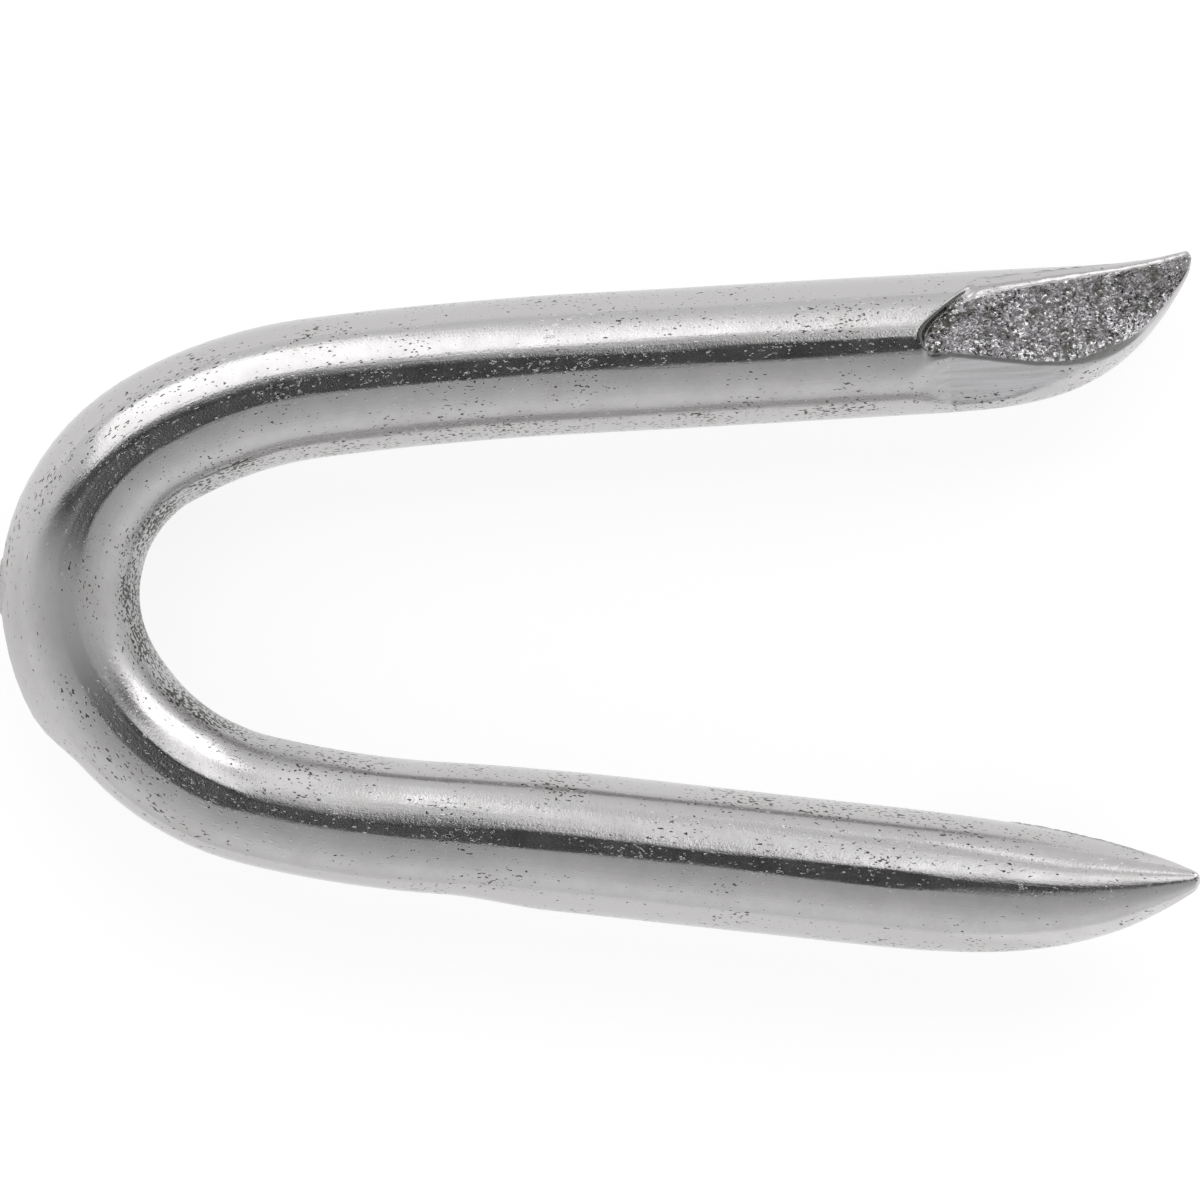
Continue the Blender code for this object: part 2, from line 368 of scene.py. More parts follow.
class Point:
    """One sheared end: its taper, and how its shear sits on the leg."""

    def __init__(self, length, hook, hand, roll, outward):
        self.length = length
        self.hook = hook
        self.hand = hand
        self.roll = math.radians(roll)
        self.outward = outward

    def radius(self, back):
        share = np.clip(back / self.length, 0.0, 1.0)
        return WIRE_RADIUS - (WIRE_RADIUS - TIP_RADIUS) * (1 - share) ** TAPER_EASE

    def centre(self, back):
        share = np.clip(back / self.length, 0.0, 1.0)
        shift = WIRE_RADIUS - self.radius(back)
        hook = self.hook * (1 - share) ** HOOK_EASE
        return shift * math.cos(TIP_LEAN) + hook, shift * math.sin(TIP_LEAN)

    def to_leg(self, across, up):
        """A die-frame offset as offsets outward and up from the leg's axis."""
        up = self.hand * up
        side = across * math.cos(self.roll) - up * math.sin(self.roll)
        height = across * math.sin(self.roll) + up * math.cos(self.roll)
        return self.outward * side, height

    def from_leg(self, out, height):
        """Offsets from the leg's axis as a die-frame offset."""
        side = self.outward * out
        across = side * math.cos(self.roll) + height * math.sin(self.roll)
        up = height * math.cos(self.roll) - side * math.sin(self.roll)
        return across, self.hand * up

    def ramp_height(self, back):
        """Height of the shear face: straight from the heel, then curving down to the tip."""
        start = WIRE_RADIUS - RAMP_DEPTH
        tip_across, tip_up = self.centre(0.0)
        last = tip_across * math.sin(RAMP_TILT) + tip_up * math.cos(RAMP_TILT) + TIP_LAND
        share = (HEEL - back) / HEEL
        curved = (start - RAMP_ENTRY * HEEL - last) * np.abs(share) ** RAMP_CURVE
        return start - RAMP_ENTRY * share * HEEL - np.copysign(curved, share)

    def heel(self, across):
        """Where the shear face starts: straight across the inner half, then skewed."""
        return HEEL - HEEL_SKEW * rolled_edge(across - HEEL_CORNER, 0.0, HEEL_CORNER_ROLL)

    def over_ramp(self, across, up, back):
        """How far a spot stands above the shear face or its heel wall."""
        height = across * math.sin(RAMP_TILT) + up * math.cos(RAMP_TILT)
        heel = self.heel(across)
        wall = np.maximum(back - heel, 0.0) * HEEL_WALL_SLOPE
        dip = falling(np.abs(heel - back), HEEL_DIP_REACH, HEEL_DIP_REACH)
        dip = HEEL_DIP * dip * rising(across, HEEL_DIP_SIDE, HEEL_DIP_SIDE_FADE)
        return height - self.ramp_height(np.minimum(back, heel)) - wall + dip

    def over_facet(self, across, up, back):
        """How far a spot stands above the smooth side facet."""
        height = up * math.cos(FACET_TURN) - across * math.sin(FACET_TURN)
        height = height + FACET_FALL * np.maximum(FACET_FALL_START - back, 0.0) ** 2
        run_in = np.maximum(back - FACET_START, 0.0) * FACET_BITE / (FACET_END - FACET_START)
        return height - (WIRE_RADIUS - FACET_BITE) - run_in


UPPER_POINT = Point(length=8.2, hook=0.45, hand=1, roll=0.0, outward=1)
LOWER_POINT = Point(length=10.6, hook=0.0, hand=-1, roll=32.0, outward=-1)


# Length and turn of each run of the wire, from the upper tip to the lower one.
RUNS = [(radius * abs(math.radians(turn)), math.radians(turn)) for radius, turn in BENDS]
RUNS = [(UPPER_LEG, 0.0), *RUNS, (LOWER_LEG, 0.0)]
WIRE_LENGTH = sum(length for length, turn in RUNS)
START_HEADING = math.radians(270) - sum(turn for length, turn in RUNS) / 2
CROWN_START = sum(length for length, turn in RUNS[:3])
CROWN_END = CROWN_START + RUNS[3][0]
TURN_BEFORE_CROWN = sum(turn for length, turn in RUNS[:3])
APEX = CROWN_START + (math.radians(270) - START_HEADING - TURN_BEFORE_CROWN) * BENDS[2][0]


def wire_path(distance):
    """Place and heading of the wire's axis at distances from the upper tip."""
    x = np.zeros_like(distance)
    y = np.zeros_like(distance)
    heading = np.full_like(distance, START_HEADING)
    start = 0.0
    for length, turn in RUNS:
        step = np.clip(distance - start, 0.0, length)
        after = heading + turn * step / length
        if turn:
            radius = length / turn
            x += radius * (np.sin(after) - np.sin(heading))
            y -= radius * (np.cos(after) - np.cos(heading))
        else:
            x += step * np.cos(heading)
            y += step * np.sin(heading)
        heading = after
        start += length
    return x, y, heading


def ease(value):
    """Smooth step from 0 to 1."""
    value = np.clip(value, 0.0, 1.0)
    return value * value * (3 - 2 * value)


def rising(value, start, width):
    """Smooth step from 0 at the start to 1 a width further on."""
    return ease((value - start) / width)


def falling(value, end, width):
    """Smooth step from 1 down to 0, which it reaches at the end."""
    return ease((end - value) / width)


def hump(value, middle, reach):
    """A smooth hump, 1 high in the middle."""
    return np.exp(-(((value - middle) / reach) ** 2))


def draw_in(distance):
    """How much narrower the section is, measured across the bend."""
    rise = rising(distance, CROWN_START - DRAW_IN_EASE / 2, DRAW_IN_EASE)
    return DRAW_IN * rise * falling(distance, CROWN_END + DRAW_IN_EASE / 2, DRAW_IN_EASE)


def press_depth(distance):
    """Depth of the pressed flat below the outer side."""
    along = distance - APEX - PRESS_START
    share = np.clip(along / PRESS_LENGTH, 0.0, 1.0)
    depth = PRESS_DEPTH + (PRESS_DEPTH_AT_LEG - PRESS_DEPTH) * share
    return depth * rising(along, 0.0, PRESS_RUN_IN) * falling(along, PRESS_LENGTH, PRESS_RUN_OUT)


def shear_roll(across, back):
    """How far the shear's edge is rolled over."""
    rim = rising(across, -RIM_BLEND / 2, RIM_BLEND)
    inner = INNER_ROLL + (DRAGGED_ROLL - INNER_ROLL) * hump(back, DRAGGED_AT, DRAGGED_REACH)
    return inner + (RIM_ROLL - inner) * rim


def rolled_edge(first, second, roll):
    """The larger of two distances, with the edge between them rolled over."""
    share = np.clip(0.5 + 0.5 * (first - second) / roll, 0.0, 1.0)
    return second + (first - second) * share + roll * share * (1 - share)


def chance(cell, seed):
    """A fixed random number from 0 to 1 for each cell of a grid."""
    mixed = np.bitwise_xor.reduce(cell * np.array(GRID_PRIMES), axis=-1)
    mixed = (mixed ^ (seed * SEED_PRIME)) & LONG_MASK
    mixed = ((mixed ^ (mixed >> 13)) * MIXING_PRIME) & LONG_MASK
    return ((mixed ^ (mixed >> 16)) & SHORT_MASK) / SHORT_MASK


def unevenness(spots, size, seed):
    """Soft lumps from -1 to 1, about as far apart as size."""
    place = spots / size
    cell = np.floor(place).astype(np.int64)
    inside = ease(place - cell)
    total = np.zeros(spots.shape[:-1])
    for corner in np.ndindex(2, 2, 2):
        weight = np.ones(spots.shape[:-1])
        for axis in range(3):
            weight = weight * (inside[..., axis] if corner[axis] else 1 - inside[..., axis])
        total += weight * chance(cell + np.array(corner), seed)
    return 2 * total - 1


def crystal_faces(spots, size, seed):
    """Heights of broken crystals: each lies at a tilt and a level of its own."""
    home = np.floor(spots / size).astype(np.int64)
    nearest = np.full(spots.shape[:-1], np.inf)
    height = np.zeros(spots.shape[:-1])
    for offset in np.ndindex(3, 3, 3):
        cell = home + np.array(offset) - 1
        spot = np.stack([cell[..., axis] + chance(cell, seed + axis) for axis in range(3)], axis=-1)
        gap = spots / size - spot
        distance = np.linalg.norm(gap, axis=-1)
        tilt = np.stack([chance(cell, seed + 3 + axis) - 0.5 for axis in range(3)], axis=-1)
        face = (gap * tilt).sum(axis=-1) + 0.5 * (chance(cell, seed + 6) - 0.5)
        closer = distance < nearest
        nearest = np.where(closer, distance, nearest)
        height = np.where(closer, face, height)
    return height * size


def ring_distances():
    """Distances along the wire at which a ring of the skin is drawn."""
    dome = TIP_DOME * np.linspace(0.0, 1.0, DOME_RINGS) ** 2 + FIRST_RING
    upper = np.arange(TIP_DOME + UPPER_RING_GAP, POINT_REACH, UPPER_RING_GAP)
    lower = np.arange(TIP_DOME + LOWER_RING_GAP, POINT_REACH, LOWER_RING_GAP)
    plain = np.arange(POINT_REACH + WIRE_RING_GAP / 3, WIRE_LENGTH - POINT_REACH, WIRE_RING_GAP)
    plain = plain[np.abs(plain - APEX) > LAND_REACH]
    land = np.arange(APEX - LAND_REACH, APEX + LAND_REACH, LAND_RING_GAP)
    found = np.concatenate([dome, upper, plain, land, WIRE_LENGTH - lower, WIRE_LENGTH - dome])
    return np.sort(found)


class Section:
    """The outlines of one stretch of the wire, a row for each ring."""

    def __init__(self, point, distance, back):
        self.point = point
        self.distance = distance[:, None]
        self.back = back[:, None]
        dome = np.clip(self.back / TIP_DOME, 0.0, 1.0)
        self.radius = point.radius(self.back) * np.sqrt(1 - (1 - dome) ** 2)
        self.centre_out, self.centre_up = point.to_leg(*point.centre(self.back))
        self.press = press_depth(self.distance)
        self.middle_out, self.middle_up = self.middle()

    def middle(self):
        """A spot well inside each outline: the wire's centre, moved away from the shear face."""
        across, up = self.point.from_leg(self.centre_out, self.centre_up)
        clear = -self.point.over_ramp(across, up, self.back)
        shift = np.clip((self.radius - clear) / 2, 0.0, None)
        out, rise = self.point.to_leg(math.sin(RAMP_TILT), math.cos(RAMP_TILT))
        return self.centre_out - shift * out, self.centre_up - shift * rise

    def distances(self, out, up):
        """How far spots stand outside the wire, the side facet and the shear, and its edge's roll."""
        wire = np.hypot(out - self.centre_out, up - self.centre_up) - self.radius
        press = np.where(self.press > 0, out - WIRE_RADIUS + self.press, -1.0)
        press_roll = PRESS_ROLL * np.clip(self.press / PRESS_ROLL_DEPTH, LEAST_PRESS_ROLL, 1.0)
        wire = rolled_edge(wire, press, press_roll)
        across, rise = self.point.from_leg(out, up)
        facet = self.point.over_facet(across, rise, self.back)
        ramp = self.point.over_ramp(across, rise, self.back)
        return wire, facet, ramp, shear_roll(across, self.back)

    def skin(self, angle, rag):
        """Offsets of the skin at each angle, and how far the shear and the facet cut into it."""
        near = np.zeros_like(angle)
        far = np.full_like(angle, SEARCH_REACH)
        for halving in range(HALVINGS):
            reach = (near + far) / 2
            out = self.middle_out + reach * np.cos(angle)
            up = self.middle_up + reach * np.sin(angle)
            wire, facet, ramp, roll = self.distances(out, up)
            smooth = rolled_edge(wire, facet, FACET_ROLL)
            outside = rolled_edge(smooth, ramp + rag, roll) > 0
            far = np.where(outside, reach, far)
            near = np.where(outside, near, reach)
        return out, up, ramp + rag - smooth, facet - wire

    def torn(self, out, up, shear):
        """Where the metal tore off in grains: on the shear face, inside its rolled edge."""
        across = self.point.from_leg(out, up)[0]
        smooth = SMOOTH_SHARE * shear_roll(across, self.back)
        before_heel = self.point.heel(across) - self.back
        inside = rising(shear, smooth - TORN_FADE / 2, TORN_FADE)
        return inside * rising(before_heel, 0.0, TORN_HEEL_FADE)

    def crease_shade(self, out, up, shear):
        """Where painted shade darkens the shear's edge: its heel wall and the line along its inner
        edge.
        """
        across = self.point.from_leg(out, up)[0]
        behind = self.back - self.point.heel(across)
        wall = rising(behind, -WALL_FOOT, WALL_FOOT) * falling(behind, WALL_TOP, WALL_FADE)
        wall *= falling(across, WALL_OUTER_END, WALL_SIDE_FADE)
        wall *= rising(across, WALL_INNER_END, WALL_SIDE_FADE)
        off_line = np.abs(shear / shear_roll(across, self.back) - INNER_LINE_AT)
        line = falling(off_line, INNER_LINE_REACH, INNER_LINE_FADE)
        line *= falling(across, INNER_LINE_SIDE, INNER_LINE_SIDE_FADE)
        line *= falling(behind, 0.0, INNER_LINE_HEEL_FADE)
        return rising(shear, -CREASE_SHADE_OUTSIDE, CREASE_SHADE_FADE) * np.maximum(wall, INNER_LINE_SHADE * line)

    def painted_glint_mask(self, out, up, shear):
        """Where painted glints go on the broken crystals: along the face's inner edge, most at its
        middle.
        """
        across = self.point.from_leg(out, up)[0]
        near_edge = falling(shear, GLITTER_DEPTH, GLITTER_DEPTH_FADE)
        near_edge *= falling(across, GLITTER_SIDE, GLITTER_SIDE_FADE)
        return near_edge * hump(self.back, GLITTER_AT, GLITTER_REACH)

    def lip(self, out, up, shear, spots):
        """The broken line of the lip beside the shear's rim."""
        across = self.point.from_leg(out, up)[0]
        sway = LIP_SWAY * unevenness(spots, size=0.7, seed=61)
        line = hump(shear + sway, -LIP_GAP, LIP_WIDTH) * rising(across, 0.0, LIP_SIDE_FADE)
        line *= rising(self.back, LIP_START, LIP_RISE) * falling(self.back, LIP_END, LIP_FALL)
        return line * ease(LIP_WHOLE + LIP_BREAKS * unevenness(spots, size=0.5, seed=63))


def column_angles(section):
    """Angles of the skin's columns: close together on the shear face and at the cut edges."""
    scan = SEAM_ANGLE + np.linspace(0, 2 * math.pi, SCAN_COLUMNS + 1)
    angle = np.repeat(scan[None, :], len(section.back), axis=0)
    shear, facet = section.skin(angle, 0.0)[2:]
    crowd = 1 + FACE_CROWD * rising(shear, -CROWD_REACH / 2, CROWD_REACH)
    crowd += EDGE_CROWD * hump(shear, 0.0, CROWD_REACH)
    crowd += FACET_CROWD * hump(facet, 0.0, CROWD_REACH) * (shear < 0)
    blur = hump(np.linspace(-BLUR_WIDTHS, BLUR_WIDTHS, 2 * BLUR_RINGS + 1), 0.0, 1.0)
    blur /= blur.sum()
    padded = np.pad(crowd, ((BLUR_RINGS, BLUR_RINGS), (0, 0)), mode="edge")
    crowd = sum(weight * padded[i : i + len(crowd)] for i, weight in enumerate(blur))
    filled = np.cumsum((crowd[:, 1:] + crowd[:, :-1]) / 2, axis=1)
    filled = np.concatenate([np.zeros((len(filled), 1)), filled], axis=1)
    wanted = np.arange(COLUMNS) / COLUMNS
    return np.stack([np.interp(wanted * row[-1], row, scan) for row in filled])


def in_columns(values):
    """A value for each ring as a value for each of its spots."""
    return np.repeat(values[:, None], COLUMNS, axis=1)


def half_skin(point, distance, back):
    """One half of the skin: its offsets from the wire's axis, and what the shear did there."""
    section = Section(point, distance, back)
    angle = column_angles(section)
    around = (np.cos(angle) * DRUM_RADIUS, np.sin(angle) * DRUM_RADIUS)
    drum = np.stack([in_columns(distance), *around], axis=-1)
    rag = FINE_RAG * unevenness(drum, size=0.22, seed=5)
    rag += COARSE_RAG * unevenness(drum, size=0.7, seed=9)
    out, up, shear, facet = section.skin(angle, rag)
    return {
        "out": out * (1 - draw_in(distance[:, None]) / (2 * WIRE_RADIUS)),
        "up": up,
        "back": in_columns(back),
        "shear": shear,
        "facet": facet,
        "torn": section.torn(out, up, shear),
        "crease_shade": section.crease_shade(out, up, shear),
        "painted_glint_mask": section.painted_glint_mask(out, up, shear),
        "lip": section.lip(out, up, shear, drum),
    }


def drawn_skin():
    """The rings' distances, and a grid of each fact about the skin's spots."""
    distance = ring_distances()
    half = np.searchsorted(distance, WIRE_LENGTH / 2)
    upper = half_skin(UPPER_POINT, distance[:half], distance[:half])
    lower = half_skin(LOWER_POINT, distance[half:], WIRE_LENGTH - distance[half:])
    return distance, {name: np.concatenate([upper[name], lower[name]]) for name in upper}


def in_space(distance, out, up):
    """Places of the skin's spots with the wire's axis at its own height."""
    x, y, heading = (value[:, None] for value in wire_path(distance))
    return np.stack([x + np.sin(heading) * out, y - np.cos(heading) * out, WIRE_RADIUS + up], axis=-1)


def raise_land(distance, out, up):
    """Lifts the oval land on the crown to its flat face, and finds the middle of that face."""
    x, y, heading = (value[:, None] for value in wire_path(distance))
    apex = np.array([APEX])
    apex_x, apex_y = wire_path(apex)[:2]
    face_x = apex_x - (2 * WIRE_RADIUS - draw_in(apex)) / 2 - LAND_HEIGHT
    level = (x - face_x) / np.maximum(-np.sin(heading), LEAST_FACING)
    along = (y - np.cos(heading) * out - apex_y) / (LAND_LENGTH / 2)
    gap = np.hypot(along, up / (LAND_WIDTH / 2))
    inside = falling(gap, 1 + LAND_EDGE, LAND_EDGE) * (out > 0)
    return out + (level - out) * inside, face_x[0], apex_y[0]


def outward_normals(spots):
    """Unit normals of the grid of spots."""
    along = np.gradient(spots, axis=0)
    around = np.roll(spots, -1, axis=1) - np.roll(spots, 1, axis=1)
    normal = np.cross(around, along)
    return normal / np.maximum(np.linalg.norm(normal, axis=-1, keepdims=True), TINY)


def bend_share(along):
    """How hard the wire was bent, from 0 on the legs to 1 at the crown."""
    rise = rising(along, CROWN_START - BEND_BEFORE, BEND_RISE)
    return rise * falling(along, CROWN_END + BEND_AFTER, BEND_FALL)


def matt_share(along, out):
    """Where the zinc is rough: round the crown's apex, and a patch inside the lower shoulder."""
    crown = rising(along, APEX - MATT_BEFORE, MATT_RISE) * falling(along, APEX + MATT_AFTER, MATT_FALL)
    patch = hump(along, SCUFF_AT, SCUFF_REACH) * falling(out, 0.0, SCUFF_SIDE_FADE)
    return np.maximum(crown, SCUFF_SHARE * patch)


def fold_line(along, out, up):
    """The broken line of the fold inside the upper shoulder."""
    path = np.stack([along, np.zeros_like(out), np.zeros_like(out)], axis=-1)
    sway = FOLD_SWAY * unevenness(path, size=1.7, seed=71)
    line = hump(out / WIRE_RADIUS + sway, FOLD_AT, FOLD_WIDTH) * (up > 0)
    line *= rising(along, CROWN_START - FOLD_BEFORE_CROWN, FOLD_RISE)
    line *= falling(along, APEX + FOLD_PAST_APEX, FOLD_FALL)
    return line * ease(FOLD_WHOLE + FOLD_BREAKS * unevenness(path, size=0.9, seed=73))


def dents(straight, back):
    """Depths of the dents, the bend's wrinkles and the lower leg's flattened flank."""
    along, out, up = (straight[..., axis] for axis in range(3))
    bent = bend_share(along)
    inner = ease(-out / WIRE_RADIUS) * bent
    depth = WIRE_DENTS * (1 + unevenness(straight * DENT_STRETCH, size=1.1, seed=21))
    depth += BEND_DENTS * bent * (1 + unevenness(straight, size=0.9, seed=23))
    depth += BEND_WRINKLES * inner * (1 + unevenness(straight * WRINKLE_STRETCH, size=0.8, seed=25))
    flank = hump(out / WIRE_RADIUS, FLANK_AT, FLANK_REACH) * (up > 0)
    flank *= rising(along, FLANK_START, FLANK_RISE) * rising(back, FLANK_TIP_GAP, FLANK_TIP_FADE)
    return depth + FLANK_DEPTH * flank


def torn_grain(spots, torn, back):
    """Depths of the torn grain: small crystals and large ones on soft lumps."""
    depth = TORN_LEVEL + SMALL_STEEPNESS * crystal_faces(spots, SMALL_CRYSTAL, seed=31)
    depth += LARGE_STEEPNESS * crystal_faces(spots, LARGE_CRYSTAL, seed=41)
    depth += TORN_LUMPS * unevenness(spots, size=0.8, seed=51)
    return torn * rising(back, 0.0, TORN_TIP_FADE) * np.clip(depth, 0.0, DEEPEST_TEAR)


def skin_faces(rings):
    """Quads between the rings and a fan of triangles at each tip, all turned outward."""
    last = rings * COLUMNS
    beside = [(i, (i + 1) % COLUMNS) for i in range(COLUMNS)]
    faces = []
    for low in range(0, last - COLUMNS, COLUMNS):
        high = low + COLUMNS
        faces.extend((high + i, high + j, low + j, low + i) for i, j in beside)
    for i, j in beside:
        faces.append((j, i, last))
        faces.append((last - COLUMNS + i, last - COLUMNS + j, last + 1))
    return faces


def closed_mesh(spots, face_x, apex_y):
    """The skin with both its tips closed, its land on the mount, and none of it outside the box."""
    mount = frame["record"]["mounts"][0]["pos_m"]
    spots = spots + np.array([mount[0] / MM - face_x, mount[1] / MM - apex_y, 0.0])
    tips = np.stack([spots[0].mean(axis=0), spots[-1].mean(axis=0)])
    places = np.concatenate([spots.reshape(-1, 3), tips])
    low, high = (np.array(corner) / MM for corner in CAD_BOX)
    places = np.clip(places, low, high)
    data = bpy.data.meshes.new("bent_wire")
    data.from_pydata((places * MM).tolist(), [], skin_faces(len(spots)))
    return data


def store(data, name, kind, values):
    """Keeps a value for each spot of the skin, for the finishes to read."""
    attribute = data.attributes.new(name, kind, "POINT")
    key = "vector" if kind == "FLOAT_VECTOR" else "value"
    attribute.data.foreach_set(key, np.ascontiguousarray(values, dtype=np.float32).ravel())


def finish_masks(straight, skin, fold):
    """How much of each finish's features every spot of the skin has, painted shade and painted glints
    among them.
    """
    along, out = straight[..., 0], straight[..., 1]
    rubbed = rising(skin["facet"], -RUBBED_FADE / 2, RUBBED_FADE)
    rubbed *= falling(skin["shear"], RUBBED_SHEAR_FADE / 2, RUBBED_SHEAR_FADE)
    # Painted shade on the wire's flanks, which mirror the shaded table beside the wire.
    flank_shade = rising(np.abs(out / WIRE_RADIUS), SHADED_FLANK_AT, SHADED_FLANK_FADE)
    return {
        "crease_shade": np.maximum(skin["crease_shade"], LINE_SHADE * np.maximum(skin["lip"], fold)),
        "painted_glint_mask": skin["painted_glint_mask"],
        "rubbed": rubbed * falling(skin["back"], FACET_END, RUBBED_END_FADE),
        "bent": bend_share(along),
        "inner": rising(-out / WIRE_RADIUS, INNER_SIDE_AT, INNER_SIDE_FADE),
        "flank": flank_shade * (1 - skin["torn"]),
        "matt": matt_share(along, out),
    }


def give_finishes(data, finishes, torn):
    """Puts the second finish where the skin is torn and the first on all the rest."""
    for finish in finishes:
        data.materials.append(finish)
    index = np.zeros(len(data.polygons), dtype=np.int32)
    index[: torn[:-1].size] = (torn[:-1] > 0.5).ravel()
    data.polygons.foreach_set("material_index", index)


def in_scene(name, data):
    """A new object of the scene."""
    made = bpy.data.objects.new(name, data)
    bpy.context.scene.collection.objects.link(made)
    return made


def make_wire(finishes):
    """The whole staple as one closed skin."""
    distance, skin = drawn_skin()
    out, face_x, apex_y = raise_land(distance, skin["out"], skin["up"])
    spots = in_space(distance, out, skin["up"])
    straight = np.stack([in_columns(distance), out, skin["up"]], axis=-1)
    fold = fold_line(straight[..., 0], out, skin["up"])
    depth = dents(straight, skin["back"]) + torn_grain(spots, skin["torn"], skin["back"])
    depth += LIP_DEPTH * skin["lip"] + FOLD_DEPTH * fold
    spots = spots - outward_normals(spots) * depth[..., None]
    data = closed_mesh(spots, face_x, apex_y)
    tips = [[0.0, 0.0, 0.0], [WIRE_LENGTH, 0.0, 0.0]]
    store(data, "straight", "FLOAT_VECTOR", np.concatenate([straight.reshape(-1, 3), tips]))
    for name, values in finish_masks(straight, skin, fold).items():
        store(data, name, "FLOAT", np.concatenate([values.ravel(), [0.0, 0.0]]))
    give_finishes(data, finishes, skin["torn"])
    data.shade_smooth()
    data.update()
    return in_scene("bent_wire", data)


def node(tree, kind, at, **settings):
    """Adds a shader node at a place on the sheet, with plain settings."""
    made = tree.nodes.new(kind)
    made.location = at
    for name, value in settings.items():
        setattr(made, name, value)
    return made


def feed(made, **values):
    """Sets input sockets of a node by name, with spaces written as underscores."""
    for name, value in values.items():
        made.inputs[name.replace("_", " ")].default_value = value
    return made


def combined(tree, kind, operation, first, second, at):
    """A math node that puts two values or two vectors through one operation."""
    made = node(tree, kind, at, operation=operation)
    tree.links.new(first, made.inputs[0])
    tree.links.new(second, made.inputs[1])
    return made


def times(tree, first, second, at):
    """Two values multiplied."""
    return combined(tree, "ShaderNodeMath", "MULTIPLY", first, second, at).outputs["Value"]


def plus(tree, first, second, weight, at):
    """One value plus another times a weight."""
    made = node(tree, "ShaderNodeMath", at, operation="MULTIPLY_ADD")
    tree.links.new(second, made.inputs[0])
    made.inputs[1].default_value = weight
    tree.links.new(first, made.inputs[2])
    return made.outputs["Value"]


def either(tree, first, second, at):
    """The larger of two values."""
    return combined(tree, "ShaderNodeMath", "MAXIMUM", first, second, at).outputs["Value"]


def ranged(tree, value, span, at):
    """A mask spread between two values."""
    spread = feed(node(tree, "ShaderNodeMapRange", at), To_Min=span[0], To_Max=span[1])
    tree.links.new(value, spread.inputs["Value"])
    return spread.outputs["Result"]


def tinted(tree, color, mask, other, at):
    """A colour that turns to another where the mask is full."""
    mixed = node(tree, "ShaderNodeMix", at, data_type="RGBA")
    tree.links.new(mask, mixed.inputs[MIX_SHARE])
    tree.links.new(color, mixed.inputs[MIX_FROM])
    mixed.inputs[MIX_TO].default_value = other
    return mixed.outputs[MIX_RESULT]


def grey(level):
    """A colour without a tint."""
    return (level, level, level, 1.0)


def noise(tree, place, per_mm, at, **settings):
    """Soft noise with this many lumps in a millimetre."""
    made = feed(node(tree, "ShaderNodeTexNoise", at), **settings)
    tree.links.new(place, made.inputs["Vector"])
    tree.links.new(per_mm, made.inputs["Scale"])
    return made.outputs["Fac"]


def new_group(name, inputs, outputs):
    """An empty shader node group with a Place and its other sockets, each a number or a colour."""
    group = bpy.data.node_groups.new(name, "ShaderNodeTree")
    group.interface.new_socket("Place", in_out="INPUT", socket_type="NodeSocketVector")
    for label, value in inputs.items():
        kind = "NodeSocketColor" if isinstance(value, tuple) else "NodeSocketFloat"
        group.interface.new_socket(label, in_out="INPUT", socket_type=kind).default_value = value
    for label in outputs:
        kind = "NodeSocketColor" if label == "Color" else "NodeSocketFloat"
        group.interface.new_socket(label, in_out="OUTPUT", socket_type=kind)
    return group, group.nodes.new("NodeGroupInput"), group.nodes.new("NodeGroupOutput")


def stretched(group, given, at):
    """The group's Place input, drawn out along the wire by its Along input."""
    stretch = feed(node(group, "ShaderNodeCombineXYZ", (at[0] - 200, at[1] - 200)), Y=1.0, Z=1.0)
    group.links.new(given.outputs["Along"], stretch.inputs["X"])
    place, factors = given.outputs["Place"], stretch.outputs["Vector"]
    scaled = combined(group, "ShaderNodeVectorMath", "MULTIPLY", place, factors, at)
    return scaled.outputs["Vector"]


def grain_group():
    """Soft noise, which can be drawn out into lines along the wire."""
    group, given, made = new_group("wire_grain", {"Grains Per Mm": 12.0, "Along": 0.7}, ["Height"])
    place = stretched(group, given, (-600, 0))
    grain = noise(group, place, given.outputs["Grains Per Mm"], (-300, 0), Detail=2.0, Roughness=0.6)
    group.links.new(grain, made.inputs["Height"])
    return group


def flecks_group():
    """Small flecks with sharp edges, in clusters: pits, scuffs and painted glints."""
    group, given, made = new_group(
        "clustered_flecks",
        {"Flecks Per Mm": 9.0, "Clusters Per Mm": 0.8, "Share": 0.3, "Along": 0.5},
        ["Flecks"],
    )
    place = stretched(group, given, (-600, 0))
    fine = noise(group, place, given.outputs["Flecks Per Mm"], (-400, 100), Detail=1.5, Roughness=0.6)
    clusters = noise(group, place, given.outputs["Clusters Per Mm"], (-400, -200), Detail=1.0)
    lifted = plus(group, fine, clusters, CLUSTER_WEIGHT, (-200, -100))
    raised = combined(group, "ShaderNodeMath", "ADD", lifted, given.outputs["Share"], (0, -100))
    sharp = node(group, "ShaderNodeMapRange", (200, 0), interpolation_type="SMOOTHSTEP")
    feed(sharp, From_Min=1.12, From_Max=1.20)
    group.links.new(raised.outputs["Value"], sharp.inputs["Value"])
    group.links.new(sharp.outputs["Result"], made.inputs["Flecks"])
    return group


def mottle_group():
    """Soft patches of two tones."""
    group, given, made = new_group(
        "tone_mottle",
        {"Patches Per Mm": 1.5, "Light": grey(0.8), "Dark": grey(0.5)},
        ["Color", "Patches"],
    )
    link = group.links.new
    place, per_mm = given.outputs["Place"], given.outputs["Patches Per Mm"]
    patches = noise(group, place, per_mm, (-400, 0), Detail=4.0, Roughness=0.65)
    spread = feed(node(group, "ShaderNodeMapRange", (-200, 0)), From_Min=0.35, From_Max=0.65)
    link(patches, spread.inputs["Value"])
    mixed = node(group, "ShaderNodeMix", (0, 0), data_type="RGBA")
    link(spread.outputs["Result"], mixed.inputs[MIX_SHARE])
    link(given.outputs["Dark"], mixed.inputs[MIX_FROM])
    link(given.outputs["Light"], mixed.inputs[MIX_TO])
    link(mixed.outputs[MIX_RESULT], made.inputs["Color"])
    link(spread.outputs["Result"], made.inputs["Patches"])
    return group


